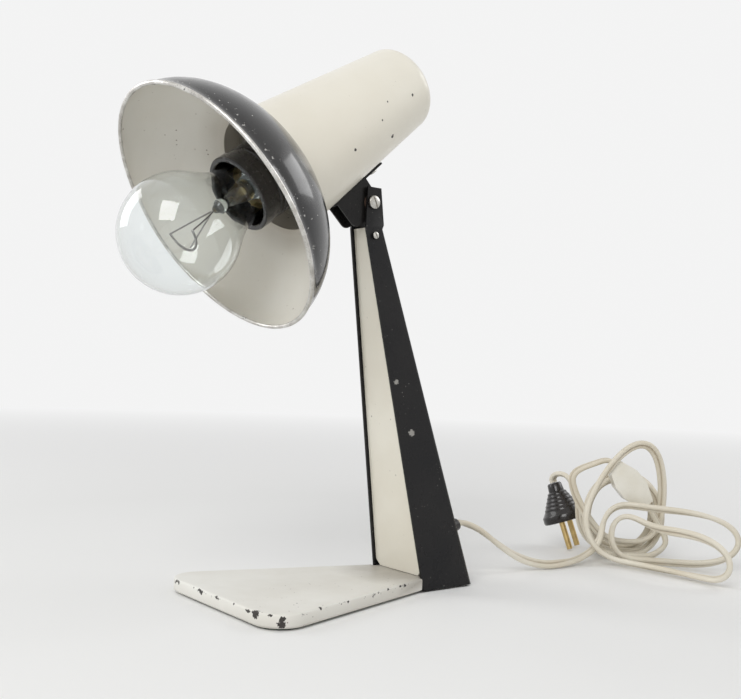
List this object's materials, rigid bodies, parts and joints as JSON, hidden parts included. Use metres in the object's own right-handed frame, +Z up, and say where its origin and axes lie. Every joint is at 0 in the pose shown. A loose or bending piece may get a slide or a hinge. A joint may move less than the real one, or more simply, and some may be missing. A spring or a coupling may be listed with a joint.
{
  "type": "bedside lamp with a tilting shade",
  "caption": "Small bedside lamp: leaning sheet metal column on a trapezoid steel plate, tilting cream cup with a black reflector bowl, screw-in bulb, flat cord with switch and plug.",
  "frame": {"origin": "on the table under the front of the column's foot, in the lamp's plane of symmetry", "axes": "+Z up, -Y the way the shade and the base plate point, +X to the lamp's left hand side seen from its front"},
  "size_m": [0.1762, 0.3945, 0.2997],
  "materials": {
    "black_paint": "satin black stove enamel",
    "cream_paint": "cream stove enamel, satin",
    "white_paint": "white enamel, worn",
    "bright_steel": "bright nickel-plated steel",
    "brass": "plain brass",
    "bakelite": "glossy black moulding",
    "clear_glass": "clear glass",
    "felt": "dark felt",
    "cord_plastic": "cream flexible plastic",
    "fibre": "pressed fibre",
    "porcelain": "glazed porcelain, given as gloss_plastic"
  },
  "bodies": {
    "stand": {"base_felt": "felt", "base_plate": "white_paint", "clip_screw": "bright_steel", "column": "black_paint", "column_lead": "cord_plastic", "cord_bush": "bakelite", "cord_lead": "cord_plastic", "cord_loops": "cord_plastic", "cord_wraps": "cord_plastic", "foot_nut_left": "bright_steel", "foot_nut_right": "bright_steel", "foot_screw_left": "bright_steel", "foot_screw_right": "bright_steel", "friction_washer_left": "fibre", "friction_washer_right": "fibre", "front_panel": "cream_paint", "lead_clip": "bright_steel", "panel_nut": "bright_steel", "panel_screw": "bright_steel", "pivot_nut": "bright_steel", "pivot_screw": "bright_steel", "plug_body": "bakelite", "plug_pin_left": "brass", "plug_pin_right": "brass", "switch_base": "cord_plastic", "switch_contact": "brass", "switch_cover": "cord_plastic", "switch_screw_1": "bright_steel", "switch_screw_2": "bright_steel"},
    "head": {"head_bracket": "black_paint", "pivot_sleeve": "bright_steel", "bracket_screw_front": "bright_steel", "bracket_screw_rear": "bright_steel", "bracket_nut_front": "bright_steel", "bracket_nut_rear": "bright_steel", "shade_cup": "cream_paint", "reflector_bowl": "black_paint", "holder_bracket": "bright_steel", "holder_nipple": "bright_steel", "holder_lock_nut": "bright_steel", "holder_cap": "bakelite", "holder_skirt": "bakelite", "holder_insert": "porcelain", "holder_shell": "brass", "centre_contact": "brass", "terminal_screw_left": "brass", "terminal_screw_right": "brass", "bulb_glass": "clear_glass", "bulb_cap": "brass", "bulb_insulator": "bakelite", "bulb_contact": "brass", "bulb_stem": "clear_glass", "bulb_wire_left": "bright_steel", "bulb_wire_right": "bright_steel", "filament": "bright_steel", "filament_support": "bright_steel", "head_lead": "cord_plastic"},
    "rocker": {"switch_rocker": "cord_plastic"}
  },
  "joints": [
    {"name": "head_tilt", "type": "hinge", "parent": "stand", "child": "head", "pos_m": [0, -0.033, 0.2128], "axis": [-1, 0, 0], "range_deg": [-12, 75]},
    {"name": "switch_rock", "type": "hinge", "parent": "stand", "child": "rocker", "pos_m": [0.0176, 0.18115, 0.05165], "axis": [-0.4641, -0.5983, -0.6532], "range_deg": [0, 14]}
  ]
}
